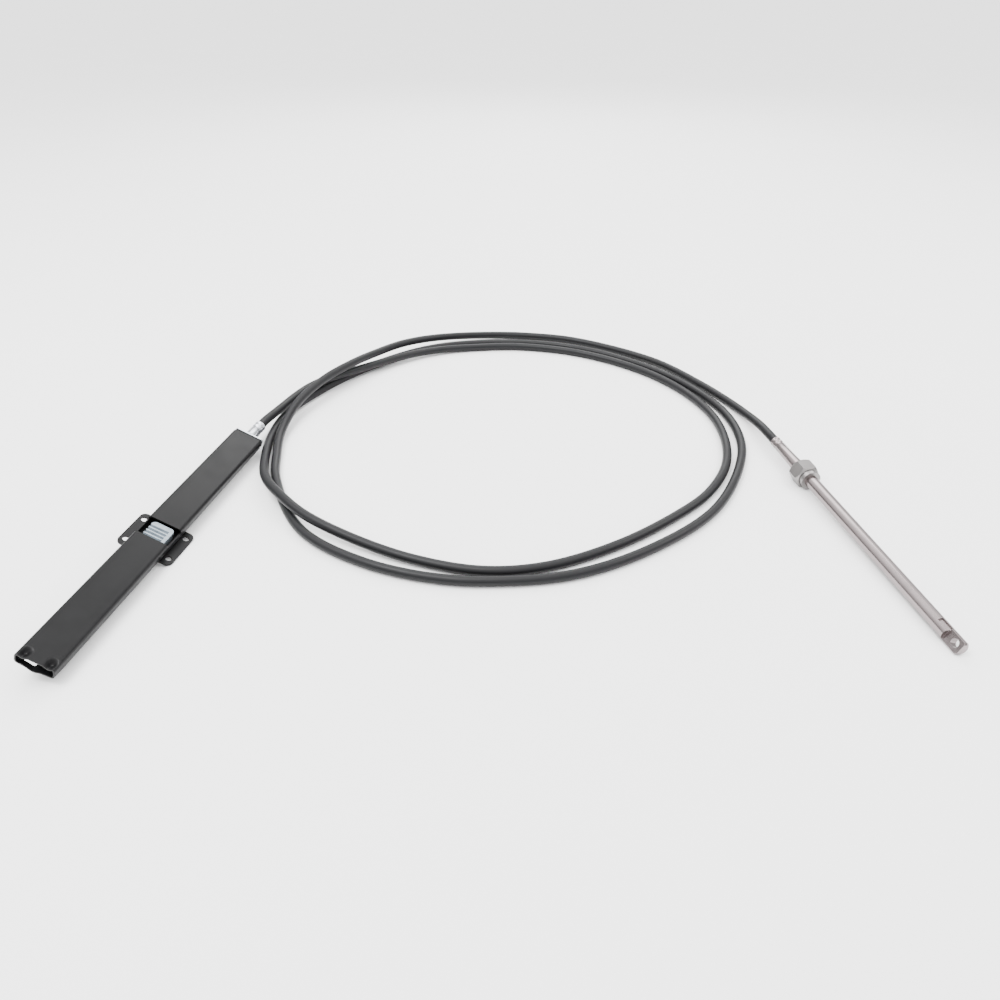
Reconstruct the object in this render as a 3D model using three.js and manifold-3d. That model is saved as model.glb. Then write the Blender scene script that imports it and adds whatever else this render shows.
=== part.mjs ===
// Boat steering cable with a rack: a flat rack housing, a long conduit lying in
// two loose turns, and an output ram with its coupling nut. Millimetres, +Z up.
import * as THREE from 'three';
import { mergeVertices } from 'three/addons/utils/BufferGeometryUtils.js';
import Module from 'manifold-3d';

const wasm = await Module();
wasm.setup();

// Clearances
const seatGap = 0.3; // between two pieces that rest on or in each other
const slideGap = 0.3; // around the ram's guide tube, on the radius

// Rack housing, a flat steel tube
const housingLength = 423;
const housingWidth = 40.3;
const housingHeight = 15;
const housingWall = 1.6;
const housingCorner = 4;
const endInset = 1.2; // the tube is swaged in by this much around its end plug
const endInsetLength = 5;
const axisOffset = 0.9; // the rack and the cable run this far right of the tube's middle
const dimpleDepth = 4.5; // the top wall is pressed in at two places near the open end
const dimpleFromEnd = 6; // from the deepest point to the open end
const dimpleReach = 6.5; // from the deepest point to the plain tube
const dimpleAtLip = 0.5; // share of the depth that is left at the open end
const dimpleOffset = 13; // from the middle of the tube
const dimpleHalfWidth = 6.5;
const lipRise = 1; // the bottom wall is bent up at its two corners
const lipSag = 2.5; // and bulges down between them
const lipSagHalfWidth = 10;
const lipSagOffset = -2;
const lipLength = 12; // over which the bottom wall's bends fade out
const windowLength = 28;
const windowCentre = -7.3; // from the middle of the tube, towards the cable
const windowDepth = 4.5; // cut down through the tube's top and its two top corners
const slotLength = 12; // drain slot in the bottom wall, near the open end
const slotWidth = 3.2;
const slotFromEnd = 5;
const slotOffset = -8;

// Rack bar
const rackWidth = 26;
const rackTopGap = 0.5; // under the tube's top wall
const rackEndPastWindow = -2.6; // the bar's end stops short of the window's far edge
const rackLength = 200;
const rackCornerRadius = 4.5;
const rackRail = 3.8; // plain strip beside the teeth
const rackLand = 6; // plain stretch at each end of the bar
const toothPitch = 5.1;
const toothDepth = 2.8;
const toothCrest = 1.5;
const toothRoot = 1.4;

// Mounting bracket, one plate under the tube with an ear on each side
const earReach = 12.7; // past the side of the tube
const bracketThickness = 2;
const bracketHole = 7;
const holeSpacingAlong = 36.4;
const holeFromEdge = 7;
const holeFromEnd = 9.8;
const bracketCorner = 7;
const bracketCentre = -6.8; // from the middle of the tube, towards the cable
const bracketShift = -1; // to the left of the tube's middle

// End plug and the ferrule that grips the cable
const plugPlate = 2;
const plateInset = 0.6; // the plate is this much smaller than the tube all round
const plugInsert = 10;
const coreBore = 6.4; // passage for the cable's core
const ferruleDiameter = 15;
const ferruleLength = 31.5;
const crimpWidth = 3;
const crimpDepth = 1.1;
const crimpPitch = 7.5;
const crimpFromEnd = 4;

// Conduit
const conduitDiameter = 12;
const conduitSteps = 80;
const conduitSides = 10;

// Coupling nut
const nutAcrossFlats = 28.575;
const nutHexLength = 22;
const nutRingLength = 6;
const nutRingDiameter = 26.5;
const nutRingEdge = 0.7;
const nutNeckDiameter = 25; // a groove parts the ring from the hexagon
const nutNeckLength = 1.2;
const nutChamfer = 3.4; // taken off the radius at the corners
const nutChamferLength = 3.2;
const threadBore = 22.2;
const threadLeadIn = 0.8;
const nutRearWall = 4;

// Output ram and the tube that guides it
const ramDiameter = 15.875;
const ramReach = 292; // from the nut's front face to the tip
const guideDiameter = 9.5;
const guideWall = 1.4;
const guideTipGap = 7; // the guide tube stops short of the bottom of the ram's bore
const guideSeat = 16; // length held in the sleeve
const plugOfRam = 38; // solid end of the ram
const ramTipChamfer = 2;
const tangLength = 21.5;
const tangFace = 2.9; // height of the front flat above the ram's axis
const tangBack = 5.7; // depth of the rear flat below the axis
const tangTurn = THREE.MathUtils.degToRad(65.6); // how far the flats have turned from level
const tangHole = 9.5;
const holeFromTip = 8.8;
const grooveLength = 14.7;
const grooveWidth = 5.7;
const grooveDepth = 2;
const grooveTurn = THREE.MathUtils.degToRad(8); // from facing up

// Sleeve between the conduit and the ram
const sleeveLength = 67; // from the nut's back face to the conduit
const sleeveRearDiameter = 14;
const sleeveMidDiameter = 14.8;
const sleeveFrontDiameter = 16.8;
const sleeveMidFraction = 0.72;
const sleeveCollarDiameter = 20;
const sleeveCollarLength = 3;

// How the pieces lie, on a floor whose zero is 'layoutOrigin'
const layoutOrigin = new THREE.Vector2(2.849, 727.358);
const housingPlace = new THREE.Vector2(-386.1, 712.2);
const housingYaw = THREE.MathUtils.degToRad(12.27); // clockwise, seen from above
const housingRoll = THREE.MathUtils.degToRad(23.5); // the right side lies lower
const nutPlace = new THREE.Vector2(392.7, 826.3);
const ramYaw = THREE.MathUtils.degToRad(168.85); // clockwise from +Y

// Centre line of the conduit between its two straight leads
const conduitLead = 14; // straight out of the ferrule and out of the sleeve
const conduitRoute = [
  [-318, 1000, 21], [-302, 1046, 20], [-288, 1075, 19.5], [-265, 1103, 19.3], [-209, 1156, 15.4],
  [-156, 1203, 11.5], [-103, 1232, 8.5], [-44, 1246, 6.7], [34, 1250, 6.3], [128, 1226, 6.3],
  [214, 1171, 6.3], [272, 1103, 6.3], [307, 1022, 6.3], [313, 950, 6.3], [299, 877, 6.3],
  [262, 811, 6.3], [216, 765, 6.3], [134, 705, 6.3], [50, 667, 6.3], [-20, 660, 6.4],
  [-95, 678, 7.4], [-165, 710, 10.3], [-230, 749, 16.6], [-266, 784, 20], [-297, 830, 17],
  [-313, 890, 9.8], [-319.5, 950, 6.6], [-313, 1012, 6.3], [-290, 1066, 6.3], [-214, 1170, 6.3],
  [-106, 1248, 6.3], [36, 1265, 6.3], [134, 1241, 6.3], [222, 1184, 6.3], [286, 1112, 6.3],
  [326, 1030, 6.3], [335, 960, 6.3], [322, 889, 6.3], [262, 775, 6.3], [170, 697, 6.3],
  [81, 654, 6.3], [0, 643, 6.3], [-68, 647, 6.3], [-153, 675, 6.3], [-232, 732, 6.3],
  [-287, 839, 6.3], [-300.5, 900, 6.6], [-306, 955, 11], [-295, 1020, 22], [-266, 1080, 30],
  [-232, 1130, 32], [-205, 1172, 28.3], [-160, 1232, 21], [-105, 1270, 14.5], [-16, 1295, 8],
  [60, 1293, 6.4], [133, 1273, 6.3], [252, 1193, 6.3], [314, 1106, 6.4], [342, 1052, 7],
  [357, 1012, 9], [367, 967, 14],
];

// Finishes
const finishes = {
  blackPaint: { color: '#3c3c40', roughness: 0.45, metalness: 0.1 },
  castZinc: { color: '#96a0a8', roughness: 0.5, metalness: 0.8 },
  zincPlate: { color: '#c9ccd2', roughness: 0.3, metalness: 0.9 },
  conduitJacket: { color: '#46464a', roughness: 0.5, metalness: 0 },
  platedNut: { color: '#a3a4a3', roughness: 0.4, metalness: 0.9 },
  stainless: { color: '#b3aeb0', roughness: 0.25, metalness: 1 },
};

// Solids: a geometry becomes a closed mesh with its faces pointing out

function closedMesh(geometry) {
  const bare = new THREE.BufferGeometry();
  bare.setAttribute('position', geometry.getAttribute('position'));
  bare.setIndex(geometry.getIndex());
  const merged = mergeVertices(bare, 1e-4);
  const index = Array.from(merged.getIndex().array);
  const kept = [];
  for (let i = 0; i < index.length; i += 3) {
    const [a, b, c] = index.slice(i, i + 3);
    if (a !== b && b !== c && c !== a) kept.push(a, b, c);
  }
  const position = merged.getAttribute('position');
  const [a, b, c] = [new THREE.Vector3(), new THREE.Vector3(), new THREE.Vector3()];
  let volume = 0;
  for (let i = 0; i < kept.length; i += 3) {
    a.fromBufferAttribute(position, kept[i]);
    b.fromBufferAttribute(position, kept[i + 1]);
    c.fromBufferAttribute(position, kept[i + 2]);
    volume += a.dot(b.cross(c));
  }
  if (volume < 0) kept.reverse();
  merged.setIndex(kept);
  return merged;
}

function solidOf(geometry) {
  const mesh = closedMesh(geometry);
  return new wasm.Manifold(new wasm.Mesh({
    numProp: 3,
    vertProperties: new Float32Array(mesh.getAttribute('position').array),
    triVerts: new Uint32Array(mesh.getIndex().array),
  }));
}

function geometryOf(solid) {
  const mesh = solid.getMesh();
  const geometry = new THREE.BufferGeometry();
  geometry.setAttribute('position', new THREE.BufferAttribute(mesh.vertProperties, 3));
  geometry.setIndex(new THREE.BufferAttribute(mesh.triVerts, 1));
  return geometry;
}

function box(lowX, highX, lowY, highY, lowZ, highZ) {
  const geometry = new THREE.BoxGeometry(highX - lowX, highY - lowY, highZ - lowZ);
  return geometry.translate((lowX + highX) / 2, (lowY + highY) / 2, (lowZ + highZ) / 2);
}

// A turned piece about +Y; the profile is [radius, y] pairs around a bore of its own
function turned(profile, sides = 40) {
  const closed = [...profile, profile[0]];
  return new THREE.LatheGeometry(closed.map(([r, y]) => new THREE.Vector2(r, y)), sides);
}

// A turned piece with no bore
function turnedSolid(profile, sides = 40) {
  const first = [0, profile[0][1]];
  const last = [0, profile[profile.length - 1][1]];
  const points = [first, ...profile, last];
  return new THREE.LatheGeometry(points.map(([r, y]) => new THREE.Vector2(r, y)), sides);
}

function rod(radius, lowY, highY, sides = 40) {
  return turnedSolid([[radius, lowY], [radius, highY]], sides);
}

function roundedRectangle(width, height, radius, path = new THREE.Shape()) {
  const x = width / 2;
  const y = height / 2;
  path.moveTo(-x + radius, -y);
  path.lineTo(x - radius, -y);
  path.absarc(x - radius, -y + radius, radius, -Math.PI / 2, 0);
  path.lineTo(x, y - radius);
  path.absarc(x - radius, y - radius, radius, 0, Math.PI / 2);
  path.lineTo(-x + radius, y);
  path.absarc(-x + radius, y - radius, radius, Math.PI / 2, Math.PI);
  path.lineTo(-x, -y + radius);
  path.absarc(-x + radius, -y + radius, radius, Math.PI, Math.PI * 1.5);
  return path;
}

function plate(shape, lowZ, highZ) {
  const geometry = new THREE.ExtrudeGeometry(shape, {
    depth: highZ - lowZ, bevelEnabled: false, curveSegments: 6,
  });
  return geometry.translate(0, 0, lowZ);
}

// A section in x and z, carried along +Y
function bar(shape, lowY, highY, curveSegments = 6) {
  const geometry = new THREE.ExtrudeGeometry(shape, {
    depth: highY - lowY, bevelEnabled: false, curveSegments,
  });
  return geometry.rotateX(Math.PI / 2).translate(0, highY, 0);
}

// Rack housing: +Y runs from the open end to the cable, +Z out of the top

// Points around the tube's section, each with the direction that points out of the wall
function sectionPoints() {
  const flatSteps = 14;
  const cornerSteps = 4;
  const x = housingWidth / 2 - housingCorner;
  const z = housingHeight / 2 - housingCorner;
  const corners = [[x, z, 0], [-x, z, 1], [-x, -z, 2], [x, -z, 3]];
  const points = [];
  corners.forEach(([cx, cz, quarter], i) => {
    for (let k = 0; k <= cornerSteps; k += 1) {
      const angle = (quarter + k / cornerSteps) * Math.PI / 2;
      const out = [Math.cos(angle), Math.sin(angle)];
      points.push({ x: cx + housingCorner * out[0], z: cz + housingCorner * out[1], out });
    }
    const next = corners[(i + 1) % 4];
    if (next[0] !== cx) {
      const out = [0, Math.sign(cz)];
      for (let k = 1; k < flatSteps; k += 1) {
        const across = cx + (next[0] - cx) * k / flatSteps;
        points.push({ x: across, z: Math.sign(cz) * housingHeight / 2, out });
      }
    }
  });
  return points;
}

const smooth = (t) => {
  const s = Math.min(Math.max(t, 0), 1);
  return s * s * (3 - 2 * s);
};

// How far the top wall is pressed in, at a point across the tube and along it
function topPressedIn(x, fromOpenEnd) {
  const across = smooth(1 - Math.abs(Math.abs(x) - dimpleOffset) / dimpleHalfWidth);
  const toLip = dimpleAtLip + (1 - dimpleAtLip) * smooth(fromOpenEnd / dimpleFromEnd);
  const toTube = smooth(1 - (fromOpenEnd - dimpleFromEnd) / dimpleReach);
  return dimpleDepth * across * Math.min(toLip, toTube);
}

// How far the bottom wall is bent up, which is less than zero where it bulges down
function bottomBentUp(x, fromOpenEnd) {
  const fade = smooth(1 - fromOpenEnd / lipLength);
  const corner = smooth(Math.abs(x) / (housingWidth / 2));
  const middle = smooth(1 - Math.abs(x - lipSagOffset) / lipSagHalfWidth);
  return fade * (lipRise * corner - lipSag * middle);
}

function housingSkin() {
  const section = sectionPoints();
  const count = section.length;
  const end = housingLength / 2;
  const stations = [end - endInsetLength, end];
  const bentSteps = 9;
  for (let k = bentSteps; k >= 0; k -= 1) {
    stations.unshift(-end + (dimpleFromEnd + dimpleReach) * k / bentSteps);
  }
  const positions = [];
  for (const y of stations) {
    const inset = endInset * smooth(1 - (end - y) / endInsetLength);
    for (const depth of [0, housingWall]) {
      for (const point of section) {
        const inward = depth + inset;
        const z = point.z - point.out[1] * inward;
        const bend = point.z > 0 ? -topPressedIn(point.x, y + end) : bottomBentUp(point.x, y + end);
        positions.push(point.x - point.out[0] * inward, y, z + bend);
      }
    }
  }
  const index = [];
  const quad = (a, b, c, d) => index.push(a, b, c, a, c, d);
  const at = (station, layer, k) => (station * 2 + layer) * count + (k % count);
  for (let k = 0; k < count; k += 1) {
    for (let s = 0; s + 1 < stations.length; s += 1) {
      quad(at(s, 0, k), at(s, 0, k + 1), at(s + 1, 0, k + 1), at(s + 1, 0, k));
      quad(at(s, 1, k + 1), at(s, 1, k), at(s + 1, 1, k), at(s + 1, 1, k + 1));
    }
    const last = stations.length - 1;
    quad(at(0, 1, k), at(0, 1, k + 1), at(0, 0, k + 1), at(0, 0, k));
    quad(at(last, 0, k), at(last, 0, k + 1), at(last, 1, k + 1), at(last, 1, k));
  }
  const geometry = new THREE.BufferGeometry();
  geometry.setAttribute('position', new THREE.Float32BufferAttribute(positions, 3));
  geometry.setIndex(index);
  return geometry;
}

const windowNear = windowCentre - windowLength / 2;
const windowFar = windowCentre + windowLength / 2;

function housingTube() {
  const top = housingHeight / 2;
  const past = 5;
  const side = housingWidth / 2 + past;
  const window = box(-side, side, windowNear, windowFar, top - windowDepth, top + past);
  const slot = plate(
    roundedRectangle(slotLength, slotWidth, slotWidth / 2 - 0.01),
    -top - past,
    -top + housingWall + lipRise + 1,
  );
  slot.translate(slotOffset, -housingLength / 2 + slotFromEnd + slotWidth / 2, 0);
  return geometryOf(solidOf(housingSkin()).subtract(solidOf(window)).subtract(solidOf(slot)));
}

function mountingBracket() {
  const width = housingWidth + 2 * earReach;
  const length = holeSpacingAlong + 2 * holeFromEnd;
  const shape = roundedRectangle(width, length, bracketCorner);
  for (const sideX of [-1, 1]) {
    for (const sideY of [-1, 1]) {
      const hole = new THREE.Path();
      const x = sideX * (width / 2 - holeFromEdge);
      hole.absarc(x, sideY * holeSpacingAlong / 2, bracketHole / 2, 0, Math.PI * 2, true);
      shape.holes.push(hole);
    }
  }
  const top = -housingHeight / 2 - seatGap;
  return plate(shape, top - bracketThickness, top).translate(bracketShift, bracketCentre, 0);
}

// The bar lies on the tube's floor; its teeth face the window
const rackFar = windowFar + rackEndPastWindow;
const rackNear = rackFar - rackLength;
const rackBottom = -housingHeight / 2 + housingWall + seatGap;
const rackTop = housingHeight / 2 - housingWall - rackTopGap;

function rackBar() {
  const flank = (toothPitch - toothCrest - toothRoot) / 2;
  const root = rackTop - toothDepth;
  const profile = new THREE.Shape();
  profile.moveTo(rackNear, rackBottom);
  profile.lineTo(rackFar, rackBottom);
  profile.lineTo(rackFar, rackTop);
  const teeth = Math.floor((rackLength - 2 * rackLand) / toothPitch);
  for (let k = 0; k < teeth; k += 1) {
    const start = rackFar - rackLand - k * toothPitch;
    profile.lineTo(start, rackTop);
    profile.lineTo(start - flank, root);
    profile.lineTo(start - flank - toothRoot, root);
    profile.lineTo(start - 2 * flank - toothRoot, rackTop);
  }
  profile.lineTo(rackNear, rackTop);
  const toothed = new THREE.ExtrudeGeometry(profile, { depth: rackWidth, bevelEnabled: false });
  toothed.applyMatrix4(new THREE.Matrix4().makeBasis(
    new THREE.Vector3(0, 1, 0), new THREE.Vector3(0, 0, 1), new THREE.Vector3(1, 0, 0),
  )).translate(-rackWidth / 2, 0, 0);
  const side = rackWidth / 2;
  const rail = box(side - rackRail, side, rackNear, rackFar, rackBottom, rackTop);
  const outline = roundedRectangle(rackWidth, rackLength, rackCornerRadius);
  const rounded = plate(outline, rackBottom - 1, rackTop + 1);
  rounded.translate(0, (rackNear + rackFar) / 2, 0);
  const bare = solidOf(toothed).add(solidOf(rail)).intersect(solidOf(rounded));
  return geometryOf(bare).translate(axisOffset, 0, 0);
}

// The plug closes the tube; its plate's edge stands proud of the swaged end
function endPlug() {
  const end = housingLength / 2;
  const lost = 2 * (endInset + housingWall + seatGap);
  const inner = roundedRectangle(
    housingWidth - lost, housingHeight - lost, housingCorner - housingWall - seatGap,
  );
  const outline = roundedRectangle(
    housingWidth - 2 * plateInset, housingHeight - 2 * plateInset, housingCorner - plateInset,
  );
  const insert = bar(inner, end - plugInsert, end + seatGap + plugPlate / 2);
  const cover = bar(outline, end + seatGap, end + seatGap + plugPlate);
  const passage = rod(coreBore / 2, end - plugInsert - 1, end + seatGap + plugPlate + 1);
  passage.translate(axisOffset, 0, 0);
  return geometryOf(solidOf(insert).add(solidOf(cover)).subtract(solidOf(passage)));
}

const ferruleStart = housingLength / 2 + seatGap + plugPlate + seatGap;
const ferruleEnd = ferruleStart + ferruleLength;

// Outline of a crimped tube end: two grooves pressed round it, near its far edge
function crimpOutline(radius, end, direction) {
  const points = [];
  for (let k = 1; k >= 0; k -= 1) {
    const middle = end - direction * (crimpFromEnd + k * crimpPitch);
    points.push([radius, middle - direction * crimpWidth]);
    points.push([radius - crimpDepth, middle - direction * crimpWidth / 4]);
    points.push([radius - crimpDepth, middle + direction * crimpWidth / 4]);
    points.push([radius, middle + direction * crimpWidth]);
  }
  points.push([radius, end - direction * 0.6], [radius - 0.6, end]);
  return points;
}

function cableFerrule() {
  const radius = ferruleDiameter / 2;
  return turned([
    [coreBore / 2, ferruleStart],
    [radius, ferruleStart],
    ...crimpOutline(radius, ferruleEnd, 1),
    [coreBore / 2, ferruleEnd],
  ]).translate(axisOffset, 0, 0);
}

// Output end: +Y runs from the nut's front face to the ram's tip, +Z up

const nutLength = nutHexLength + nutRingLength;
const nutRear = -nutLength;
const nutShelf = nutRear + nutRearWall;
const sleeveRear = nutRear - sleeveLength;

function couplingNut() {
  const corner = nutAcrossFlats / Math.sqrt(3);
  const hexagon = new THREE.Shape();
  for (let k = 0; k < 6; k += 1) {
    const angle = (k + 0.5) * Math.PI / 3 - Math.PI / 6;
    hexagon[k ? 'lineTo' : 'moveTo'](corner * Math.cos(angle), corner * Math.sin(angle));
  }
  const hex = bar(hexagon, nutRear, -nutRingLength);
  const face = corner - nutChamfer;
  const chamfers = turnedSolid([
    [face, nutRear - 0.01], [corner + 0.2, nutRear + nutChamferLength],
    [corner + 0.2, -nutRingLength - nutChamferLength], [face, -nutRingLength + 0.01],
  ], 60);
  const neckFront = nutNeckLength - nutRingLength;
  const ring = turnedSolid([
    [nutNeckDiameter / 2, -nutRingLength - 1], [nutNeckDiameter / 2, neckFront],
    [nutRingDiameter / 2, neckFront],
    [nutRingDiameter / 2, -nutRingEdge], [nutRingDiameter / 2 - nutRingEdge, 0],
  ], 60);
  const bore = turnedSolid([
    [sleeveFrontDiameter / 2 + seatGap, nutRear - 1],
    [sleeveFrontDiameter / 2 + seatGap, nutShelf],
    [threadBore / 2, nutShelf],
    [threadBore / 2, -threadLeadIn], [threadBore / 2 + 2 * threadLeadIn, threadLeadIn],
  ], 60);
  return geometryOf(solidOf(hex).intersect(solidOf(chamfers)).add(solidOf(ring)).subtract(solidOf(bore)));
}

const collarRear = nutShelf + seatGap;
const collarFront = collarRear + sleeveCollarLength;

function outputSleeve() {
  const front = sleeveFrontDiameter / 2;
  const middle = nutRear - sleeveLength * (1 - sleeveMidFraction);
  const socket = guideDiameter / 2 + seatGap / 2;
  return turned([
    [coreBore / 2, sleeveRear],
    ...crimpOutline(sleeveRearDiameter / 2, sleeveRear, -1).reverse(),
    [sleeveMidDiameter / 2, middle],
    [front, nutRear - 2],
    [front, collarRear],
    [sleeveCollarDiameter / 2, collarRear],
    [sleeveCollarDiameter / 2, collarFront],
    [socket, collarFront],
    [socket, collarFront - guideSeat],
    [coreBore / 2, collarFront - guideSeat],
  ]);
}

const ramBoreEnd = ramReach - plugOfRam;

function guideTube() {
  const outer = guideDiameter / 2;
  const inner = outer - guideWall;
  const rear = collarFront - guideSeat + seatGap;
  const front = ramBoreEnd - guideTipGap;
  return turned([[inner, rear], [outer, rear], [outer, front], [inner, front]], 24);
}

function outputRam() {
  const radius = ramDiameter / 2;
  const boreRadius = guideDiameter / 2 + slideGap;
  const rear = collarFront + seatGap;
  const body = turnedSolid([
    [radius - 0.5, rear], [radius, rear + 0.5],
    [radius, ramReach - ramTipChamfer], [radius - ramTipChamfer, ramReach],
  ], 48);
  const bore = rod(boreRadius, rear - 1, ramBoreEnd, 32);
  const shoulder = ramReach - tangLength;
  const past = radius + 1;
  const front = box(-past, past, shoulder, ramReach + 1, tangFace, past);
  const back = box(-past, past, shoulder, ramReach + 1, -past, -tangBack);
  const hole = rod(tangHole / 2, -past, past, 32).rotateX(Math.PI / 2);
  hole.translate(0, ramReach - holeFromTip, 0);
  const grooveRear = shoulder - grooveLength;
  const grooveSide = grooveWidth / 2;
  const groove = box(-grooveSide, grooveSide, grooveRear, shoulder + 1, radius - grooveDepth, past);
  const cuts = [bore, groove.rotateY(grooveTurn)];
  cuts.push(...[front, back, hole].map((cut) => cut.rotateY(tangTurn)));
  return geometryOf(cuts.reduce((left, cut) => left.subtract(solidOf(cut)), solidOf(body)));
}

// A point of a group, in the layout
function placed(group, x, y) {
  group.updateMatrix();
  return new THREE.Vector3(x, y, 0).applyMatrix4(group.matrix);
}

// Conduit, straight out of the ferrule and straight into the sleeve
function cableConduit() {
  const route = conduitRoute.map(([x, y, z]) => new THREE.Vector3(x, y, z));
  const start = ferruleEnd + seatGap;
  const end = sleeveRear - seatGap;
  const points = [
    placed(rackEnd, axisOffset, start), placed(rackEnd, axisOffset, start + conduitLead),
    ...route,
    placed(outputEnd, 0, end - conduitLead), placed(outputEnd, 0, end),
  ];
  const curve = new THREE.CatmullRomCurve3(points);
  const section = new THREE.Shape();
  for (let k = 0; k < conduitSides; k += 1) {
    const angle = 2 * Math.PI * k / conduitSides;
    const x = conduitDiameter / 2 * Math.cos(angle);
    const y = conduitDiameter / 2 * Math.sin(angle);
    section[k ? 'lineTo' : 'moveTo'](x, y);
  }
  return new THREE.ExtrudeGeometry(section, { steps: conduitSteps, extrudePath: curve });
}

// The part

function piece(name, geometry, finish) {
  const mesh = new THREE.Mesh(closedMesh(geometry), new THREE.MeshStandardMaterial(finishes[finish]));
  mesh.name = name;
  return mesh;
}

// The lowest edge of the bracket's right ear stands on the floor
const earX = housingWidth / 2 + earReach + bracketShift;
const earZ = housingHeight / 2 + seatGap + bracketThickness;
const housingLift = earX * Math.sin(housingRoll) + earZ * Math.cos(housingRoll);

const rackEnd = new THREE.Group();
rackEnd.add(
  piece('housing_tube', housingTube(), 'blackPaint'),
  piece('mounting_bracket', mountingBracket(), 'blackPaint'),
  piece('rack_bar', rackBar(), 'castZinc'),
  piece('end_plug', endPlug(), 'zincPlate'),
  piece('cable_ferrule', cableFerrule(), 'zincPlate'),
);
rackEnd.position.set(housingPlace.x, housingPlace.y, housingLift);
rackEnd.rotation.set(0, housingRoll, -housingYaw, 'ZYX');

// The nut lies on one of its flats and the ram's tip on the floor
const nutFlat = nutAcrossFlats / 2;
const ramTipStart = ramReach - ramTipChamfer;
const ramTilt = Math.atan2(nutFlat - ramDiameter / 2, ramTipStart + nutRingLength);
const nutLift = nutFlat * Math.cos(ramTilt) - nutRingLength * Math.sin(ramTilt);

const outputEnd = new THREE.Group();
outputEnd.add(
  piece('coupling_nut', couplingNut(), 'platedNut'),
  piece('output_sleeve', outputSleeve(), 'stainless'),
  piece('guide_tube', guideTube(), 'stainless'),
  piece('output_ram', outputRam(), 'stainless'),
);
outputEnd.position.set(nutPlace.x, nutPlace.y, nutLift);
outputEnd.rotation.set(-ramTilt, 0, -ramYaw, 'ZYX');

const layout = new THREE.Group();
layout.add(rackEnd, outputEnd, piece('cable_conduit', cableConduit(), 'conduitJacket'));
layout.position.set(-layoutOrigin.x, -layoutOrigin.y, 0);

const steeringCable = new THREE.Group();
steeringCable.add(layout);

export default steeringCable;
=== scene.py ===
import math

import bmesh
import bpy
from mathutils import Euler, Matrix, Vector


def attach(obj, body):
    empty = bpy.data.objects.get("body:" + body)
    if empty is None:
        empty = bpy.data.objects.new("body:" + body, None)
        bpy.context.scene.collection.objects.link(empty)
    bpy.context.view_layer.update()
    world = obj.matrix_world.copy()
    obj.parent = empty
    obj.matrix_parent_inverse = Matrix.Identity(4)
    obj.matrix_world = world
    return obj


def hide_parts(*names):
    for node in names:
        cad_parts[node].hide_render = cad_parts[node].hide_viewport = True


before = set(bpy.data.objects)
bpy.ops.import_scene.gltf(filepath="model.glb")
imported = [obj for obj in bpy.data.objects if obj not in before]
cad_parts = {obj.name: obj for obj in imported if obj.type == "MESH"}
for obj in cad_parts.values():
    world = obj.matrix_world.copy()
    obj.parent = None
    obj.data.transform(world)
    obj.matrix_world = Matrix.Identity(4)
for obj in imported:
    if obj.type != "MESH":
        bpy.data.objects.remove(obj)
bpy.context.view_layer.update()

bl_info = {
    "name": "Boat Steering Cable",
    "version": (1, 0, 0),
    "blender": (4, 5, 0),
    "location": "View3D > Sidebar > Steering Cable",
    "description": "Rack housing, conduit, coupling nut and output ram of a boat steering cable",
    "category": "Object",
}

MM = 0.001

# How the two rigid ends lie, in millimetres on the floor
LAYOUT_ORIGIN = (2.849, 727.358)
HOUSING_PLACE = (-386.1, 712.2)
HOUSING_YAW = math.radians(12.27)
HOUSING_ROLL = math.radians(23.5)
NUT_PLACE = (392.7, 826.3)
RAM_YAW = math.radians(168.85)

# Centre line of the conduit between its two straight leads, in metres on the floor
CONDUIT_LEAD = 0.014
CONDUIT_ROUTE = [
    (-0.318, 1.000, 0.021), (-0.302, 1.046, 0.020), (-0.288, 1.075, 0.0195),
    (-0.265, 1.103, 0.0193), (-0.209, 1.156, 0.0154), (-0.156, 1.203, 0.0115),
    (-0.103, 1.232, 0.0085), (-0.044, 1.246, 0.0067), (0.034, 1.250, 0.0063),
    (0.128, 1.226, 0.0063), (0.214, 1.171, 0.0063), (0.272, 1.103, 0.0063),
    (0.307, 1.022, 0.0063), (0.313, 0.950, 0.0063), (0.299, 0.877, 0.0063),
    (0.262, 0.811, 0.0063), (0.216, 0.765, 0.0063), (0.134, 0.705, 0.0063),
    (0.050, 0.667, 0.0063), (-0.020, 0.660, 0.0064), (-0.095, 0.678, 0.0074),
    (-0.165, 0.710, 0.0103), (-0.230, 0.749, 0.0166), (-0.266, 0.784, 0.020),
    (-0.297, 0.830, 0.017), (-0.313, 0.890, 0.0098), (-0.3195, 0.950, 0.0066),
    (-0.313, 1.012, 0.0063), (-0.290, 1.066, 0.0063), (-0.214, 1.170, 0.0063),
    (-0.106, 1.248, 0.0063), (0.036, 1.265, 0.0063), (0.134, 1.241, 0.0063),
    (0.222, 1.184, 0.0063), (0.286, 1.112, 0.0063), (0.326, 1.030, 0.0063),
    (0.335, 0.960, 0.0063), (0.322, 0.889, 0.0063), (0.262, 0.775, 0.0063),
    (0.170, 0.697, 0.0063), (0.081, 0.654, 0.0063), (0.000, 0.643, 0.0063),
    (-0.068, 0.647, 0.0063), (-0.153, 0.675, 0.0063), (-0.232, 0.732, 0.0063),
    (-0.287, 0.839, 0.0063), (-0.3005, 0.900, 0.0066), (-0.306, 0.955, 0.011),
    (-0.295, 1.020, 0.022), (-0.266, 1.080, 0.030), (-0.232, 1.130, 0.032),
    (-0.205, 1.172, 0.0283), (-0.160, 1.232, 0.021), (-0.105, 1.270, 0.0145),
    (-0.016, 1.295, 0.008), (0.060, 1.293, 0.0064), (0.133, 1.273, 0.0063),
    (0.252, 1.193, 0.0063), (0.314, 1.106, 0.0064), (0.342, 1.052, 0.007),
    (0.357, 1.012, 0.009), (0.367, 0.967, 0.014),
]

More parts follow.
